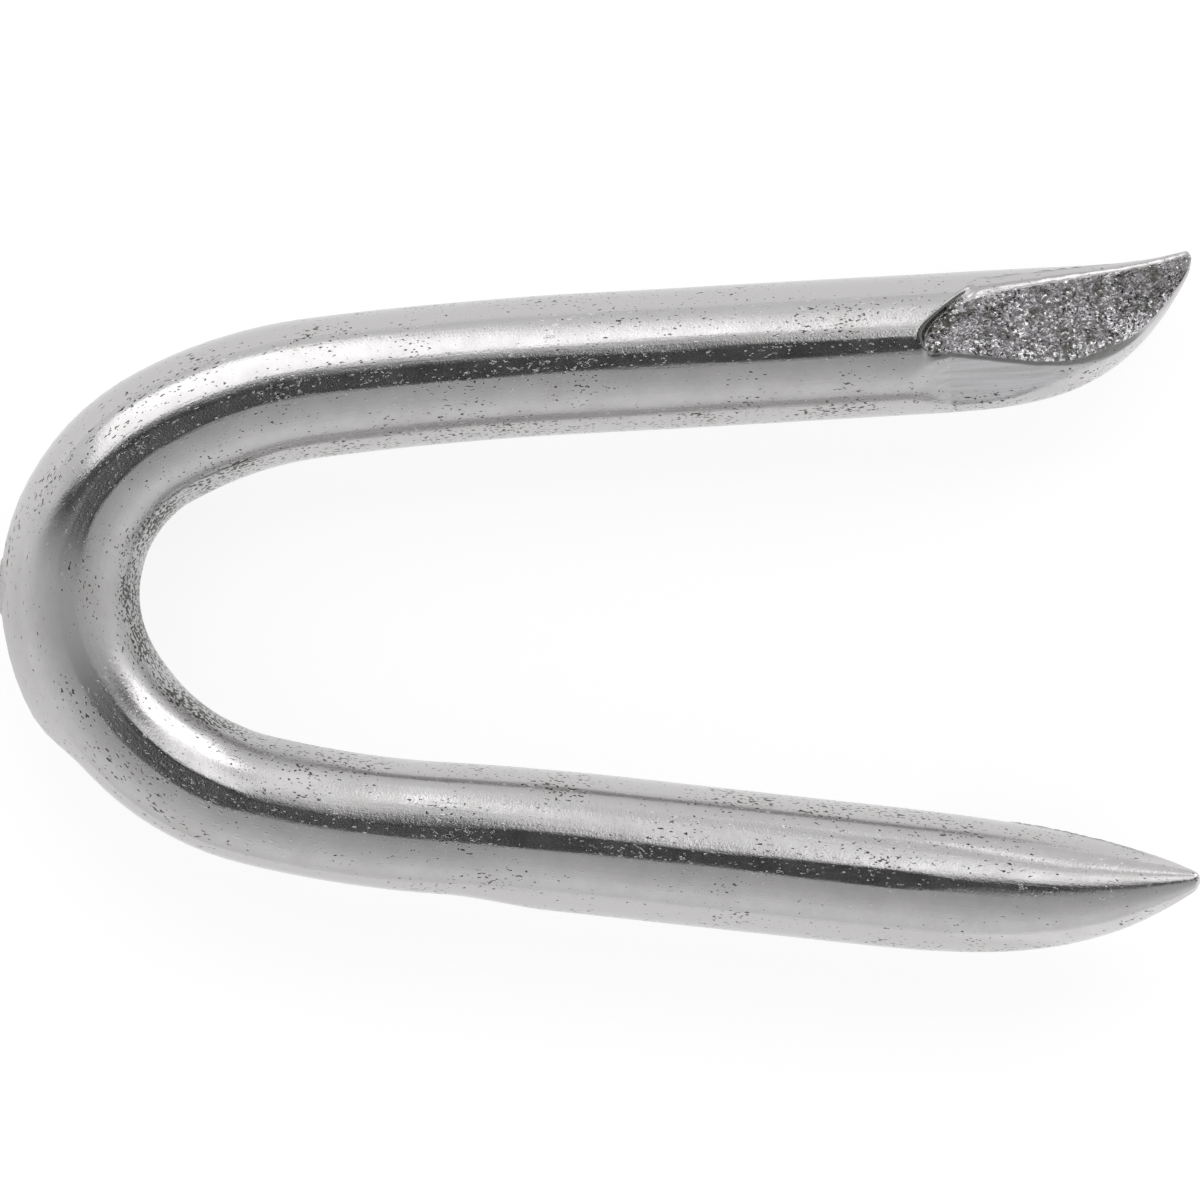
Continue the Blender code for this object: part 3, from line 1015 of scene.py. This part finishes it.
def new_material(name):
    """A material and its shader."""
    material = bpy.data.materials.new(name)
    material.use_nodes = True
    return material, material.node_tree.nodes["Principled BSDF"]


def start_finish(name):
    """A metal finish with the straightened wire's coordinates ready for its effects."""
    material, shader = new_material(name)
    tree = material.node_tree
    feed(shader, Metallic=1.0)
    place = node(tree, "ShaderNodeAttribute", (-1600, 0), attribute_name="straight")
    return material, tree, shader, place.outputs["Vector"]


def use_group(tree, group, at, place, **values):
    """Places an effect group in a material with its own values."""
    used = node(tree, "ShaderNodeGroup", at, node_tree=group)
    tree.links.new(place, used.inputs["Place"])
    return feed(used, **values)


def spot_value(tree, name, at):
    """A value kept on the skin's spots."""
    return node(tree, "ShaderNodeAttribute", at, attribute_name=name).outputs["Fac"]


def bumped(tree, shader, height, at):
    """Feeds a height in millimetres to the shader as relief."""
    bump = feed(node(tree, "ShaderNodeBump", at), Distance=MM)
    tree.links.new(height, bump.inputs["Height"])
    tree.links.new(bump.outputs["Normal"], shader.inputs["Normal"])


def zinc_color(tree, color, inner_bend, rubbed, lines, pits):
    """Painted shade at the flanks and, in part, inside the bend, streaked where it was rubbed, dark in
    the pits, and painted shade in the creases.
    """
    streaks = times(tree, rubbed, ranged(tree, lines, STREAK_SPREAD, (-900, 800)), (-800, 800))
    # The flank and crease layers are painted shade, and the layer inside the bend is partly painted
    # shade.
    layers = (
        (spot_value(tree, "flank", (-1000, 600)), SHADED_FLANK_ZINC),
        (inner_bend, STREAK_AND_BEND_SHADE_ZINC),
        (rubbed, RUBBED_ZINC),
        (streaks, STREAK_AND_BEND_SHADE_ZINC),
        (pits, PIT_IN_ZINC),
        (spot_value(tree, "crease_shade", (-600, 500)), CREASE_SHADE_ZINC),
    )
    for step, (mask, tint) in enumerate(layers):
        color = tinted(tree, color, mask, tint, (-800 + 110 * step, 300))
    return color


def zinc_relief(tree, fine, peel, lines, scuffs, pits, inner_bend, matt, rubbed):
    """Fine grain and a rolling surface, coarser in the scuffs and the bend, draw lines and pits."""
    height = times(tree, peel, ranged(tree, matt, PEEL_HEIGHT, (-900, -950)), (-700, -600))
    sanded = times(tree, fine, ranged(tree, inner_bend, FINE_HEIGHT, (-900, -1250)), (-700, -1000))
    height = plus(tree, height, sanded, 1.0, (-600, -250))
    coarse = times(tree, fine, scuffs, (-700, -300))
    height = plus(tree, height, coarse, SCUFF_HEIGHT, (-500, -250))
    drawn = times(tree, lines, ranged(tree, rubbed, DRAW_LINE_HEIGHT, (-900, -1100)), (-700, -800))
    height = plus(tree, height, drawn, 1.0, (-400, -250))
    return plus(tree, height, pits, ZINC_PIT_HEIGHT, (-300, -250))


def drawn_zinc(grain, flecks, mottle):
    """The zinc skin of the drawn wire, coarser on the bend and rubbed smooth on the side facet."""
    material, tree, shader, place = start_finish("drawn_zinc")
    inner = spot_value(tree, "inner", (-1600, -400))
    rubbed = spot_value(tree, "rubbed", (-1600, -600))
    matt = spot_value(tree, "matt", (-1600, -800))
    inner_bend = times(tree, inner, spot_value(tree, "bent", (-1600, -200)), (-1400, 100))
    tone = use_group(
        tree, mottle, (-1000, 400), place, Patches_Per_Mm=1.3, Light=LIGHT_ZINC, Dark=DARK_ZINC
    )
    pitted = use_group(
        tree, flecks, (-1000, 150), place, Flecks_Per_Mm=14.0, Clusters_Per_Mm=1.0, Along=0.5
    )
    share = ranged(tree, inner, ZINC_PITS, (-1400, 250))
    share = plus(tree, share, inner_bend, MORE_BEND_PITS, (-1200, 200))
    tree.links.new(share, pitted.inputs["Share"])
    scuffed = use_group(
        tree, flecks, (-1000, -100), place,
        Flecks_Per_Mm=9.0, Clusters_Per_Mm=0.9, Share=0.25, Along=0.5,
    )
    pits, scuffs = pitted.outputs["Flecks"], scuffed.outputs["Flecks"]
    fine, peel, lines = (
        use_group(tree, grain, at, place, Grains_Per_Mm=grains, Along=along).outputs["Height"]
        for grains, along, at in (
            (15.0, 1.0, (-1000, -350)),
            (4.0, 0.8, (-1000, -550)),
            (7.0, 0.04, (-1000, -750)),
        )
    )
    color = zinc_color(tree, tone.outputs["Color"], inner_bend, rubbed, lines, pits)
    tree.links.new(color, shader.inputs["Base Color"])
    rough = ranged(tree, tone.outputs["Patches"], ZINC_ROUGHNESS, (-600, 50))
    rough = plus(tree, rough, scuffs, SCUFF_ROUGHNESS, (-450, 50))
    rough = plus(tree, rough, matt, MATT_ROUGHNESS, (-300, 50))
    tree.links.new(rough, shader.inputs["Roughness"])
    height = zinc_relief(tree, fine, peel, lines, scuffs, pits, inner_bend, matt, rubbed)
    bumped(tree, shader, height, (-150, -250))
    return material


def crystal_slopes(tree, place):
    """Heights of small flat crystals, each of which leans a way of its own."""
    crystals = feed(node(tree, "ShaderNodeTexVoronoi", (-1200, -350)), Scale=CRYSTALS_PER_MM)
    tree.links.new(place, crystals.inputs["Vector"])
    middle = crystals.outputs["Position"]
    gap = combined(tree, "ShaderNodeVectorMath", "SUBTRACT", place, middle, (-1000, -300))
    lean = node(tree, "ShaderNodeVectorMath", (-1000, -500), operation="SUBTRACT")
    tree.links.new(crystals.outputs["Color"], lean.inputs[0])
    lean.inputs[1].default_value = (0.5, 0.5, 0.5)
    ways = gap.outputs["Vector"], lean.outputs["Vector"]
    return combined(tree, "ShaderNodeVectorMath", "DOT_PRODUCT", *ways, (-800, -400)).outputs["Value"]


def torn_steel(grain, flecks, mottle):
    """The granular break of the shear face: grey crystals with bright and dark sides, and painted
    glints.
    """
    material, tree, shader, place = start_finish("torn_steel")
    tone = use_group(
        tree, mottle, (-1000, 400), place, Patches_Per_Mm=2.2, Light=LIGHT_STEEL, Dark=DARK_STEEL
    )
    # Painted glints: bright flecks in the colour, thickest along the face's inner edge.
    glints = use_group(
        tree, flecks, (-1000, 650), place, Flecks_Per_Mm=10.0, Clusters_Per_Mm=1.1, Along=0.9
    )
    painted_glint_mask = spot_value(tree, "painted_glint_mask", (-1400, 650))
    tree.links.new(ranged(tree, painted_glint_mask, PAINTED_GLINT_SHARE, (-1200, 650)), glints.inputs["Share"])
    pits = use_group(
        tree, flecks, (-1000, 150), place,
        Flecks_Per_Mm=13.0, Clusters_Per_Mm=2.0, Share=0.335, Along=1.0,
    )
    color = tone.outputs["Color"]
    color = tinted(tree, color, glints.outputs["Flecks"], PAINTED_GLINT_STEEL, (-800, 400))
    color = tinted(tree, color, pits.outputs["Flecks"], PIT_IN_STEEL, (-600, 300))
    tree.links.new(color, shader.inputs["Base Color"])
    rough = ranged(tree, tone.outputs["Patches"], STEEL_ROUGHNESS, (-600, 50))
    tree.links.new(rough, shader.inputs["Roughness"])
    grit = use_group(tree, grain, (-1000, -750), place, Grains_Per_Mm=16.0, Along=1.0)
    level = ranged(tree, grit.outputs["Height"], GRIT_HEIGHT, (-700, -650))
    height = plus(tree, level, crystal_slopes(tree, place), CRYSTAL_STEEPNESS, (-500, -350))
    bumped(tree, shader, height, (-300, -250))
    return material


def stage_card(name, corners, material):
    """A flat card of the studio."""
    data = bpy.data.meshes.new(name)
    data.from_pydata(corners, [], [range(len(corners))])
    data.materials.append(material)
    card = in_scene(name, data)
    return card


def white_table():
    """A white table that keeps the shadow and shows white to the camera and in the metal."""
    material, shader = new_material("white_table")
    tree = material.node_tree
    link = tree.links.new
    tree.nodes.remove(shader)
    output = tree.nodes["Material Output"]
    shaded = feed(node(tree, "ShaderNodeBsdfDiffuse", (-400, 100)), Color=grey(TABLE_SHADED))
    bounced = feed(node(tree, "ShaderNodeBsdfDiffuse", (-400, -200)), Color=grey(TABLE_BOUNCE))
    glow = feed(node(tree, "ShaderNodeEmission", (-400, -50)), Strength=TABLE_GLOW)
    seen = node(tree, "ShaderNodeAddShader", (-200, 50))
    link(shaded.outputs[0], seen.inputs[0])
    link(glow.outputs[0], seen.inputs[1])
    ray = node(tree, "ShaderNodeLightPath", (-800, 300)).outputs
    shown = either(tree, ray["Is Camera Ray"], ray["Is Glossy Ray"], (-600, 300))
    shown = either(tree, shown, ray["Is Transmission Ray"], (-400, 300))
    mixed = node(tree, "ShaderNodeMixShader", (0, 0))
    link(shown, mixed.inputs[0])
    link(bounced.outputs[0], mixed.inputs[1])
    link(seen.outputs[0], mixed.inputs[2])
    link(mixed.outputs[0], output.inputs["Surface"])
    return material


def matt_black():
    """The dark camera stand over the staple, which the wire's crest mirrors."""
    material, shader = new_material("matt_black")
    feed(shader, Base_Color=grey(0.03), Roughness=0.9)
    return material


def overhead_card(name, corners, material):
    """A dark card level with the camera, over the staple."""
    card = stage_card(name, [(x, y, STAND_HEIGHT) for x, y in corners], material)
    card.visible_camera = False


def softbox(name, towards, top, width, height, radiance):
    """A rectangular lamp that looks at the staple from this direction, its height along top."""
    lamp = bpy.data.lights.new(name, "AREA")
    lamp.shape = "RECTANGLE"
    lamp.size = width
    lamp.size_y = height
    lamp.energy = radiance * math.pi * width * height
    holder = in_scene(name, lamp)
    back = Vector(towards).normalized()
    side = Vector(top).cross(back).normalized()
    holder.location = back * SOFTBOX_DISTANCE
    holder.rotation_euler = Matrix((side, back.cross(side), back)).transposed().to_euler()


def pale_dome():
    """The studio's pale walls, darker overhead."""
    world = bpy.data.worlds.new("pale_dome")
    bpy.context.scene.world = world
    world.use_nodes = True
    tree = world.node_tree
    way = node(tree, "ShaderNodeTexCoord", (-800, 0))
    split = node(tree, "ShaderNodeSeparateXYZ", (-600, 0))
    tree.links.new(way.outputs["Generated"], split.inputs[0])
    shade = node(tree, "ShaderNodeMapRange", (-400, 0))
    feed(shade, From_Min=0.4, From_Max=1.0, To_Min=DOME_WALL, To_Max=DOME_TOP)
    tree.links.new(split.outputs["Z"], shade.inputs["Value"])
    tree.links.new(shade.outputs["Result"], tree.nodes["Background"].inputs["Color"])


def set_lamps():
    """Softboxes, each where the wire mirrors it as one of the bright streaks of the photo."""
    upright = (0, 0, 1)
    softbox("left_softbox", (-0.354, 0.70, 0.61), upright, width=0.22, height=0.27, radiance=0.95)
    softbox("middle_softbox", (-0.030, 0.754, 0.656), upright, width=0.042, height=0.17, radiance=0.30)
    softbox("leg_softbox", (0.075, 0.43, 0.90), (0, 1, 0), width=0.045, height=0.125, radiance=0.45)
    leaning = (0.401, 0.793, -0.454)
    softbox("inner_softbox", (0.204, 0.404, 0.891), leaning, width=0.07, height=0.19, radiance=0.85)
    leaning = (-0.675, -0.281, 0.682)
    softbox("right_softbox", (0.49, 0.69, 0.54), leaning, width=0.20, height=0.19, radiance=1.2)


def set_stage():
    """Table, the dark camera stand with its two arms, the softboxes and the pale dome."""
    corners = [(-1, -1), (1, -1), (1, 1), (-1, 1)]
    stage_card("table", [(x * TABLE_REACH, y * TABLE_REACH, 0) for x, y in corners], white_table())
    black = matt_black()
    overhead_card("camera_stand", STAND_OUTLINE, black)
    overhead_card("stand_arm", LEFT_ARM_OUTLINE, black)
    overhead_card("far_arm", RIGHT_ARM_OUTLINE, black)
    set_lamps()
    pale_dome()


def set_camera():
    """Looks straight down, turned a little as in the photo."""
    data = bpy.data.cameras.new("camera")
    camera = in_scene("camera", data)
    right = Vector((math.cos(CAMERA_TURN), math.sin(CAMERA_TURN), 0.0))
    up = Vector((-math.sin(CAMERA_TURN), math.cos(CAMERA_TURN), 0.0))
    aside = PHOTO_PIXELS / 2 - ORIGIN_IN_PHOTO[0]
    above = ORIGIN_IN_PHOTO[1] - PHOTO_PIXELS / 2
    aim = (right * aside + up * above) / PIXELS_PER_MM * MM
    data.sensor_width = SENSOR_WIDTH
    data.lens = SENSOR_WIDTH * CAMERA_REACH / (PHOTO_PIXELS / PIXELS_PER_MM * MM)
    camera.location = aim + Vector((0.0, 0.0, CAMERA_REACH + WIRE_RADIUS * MM))
    camera.rotation_euler = (0.0, 0.0, CAMERA_TURN)
    data.clip_start = 0.01
    data.clip_end = 10.0
    bpy.context.scene.camera = camera


def dress():
    """Makes the wire with its finishes and puts it in the solid's place."""
    grain = grain_group()
    flecks = flecks_group()
    mottle = mottle_group()
    wire = make_wire([drawn_zinc(grain, flecks, mottle), torn_steel(grain, flecks, mottle)])
    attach(wire, "root")
    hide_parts("staple")


dress()
set_stage()
set_camera()
bpy.context.scene.view_settings.view_transform = "Standard"
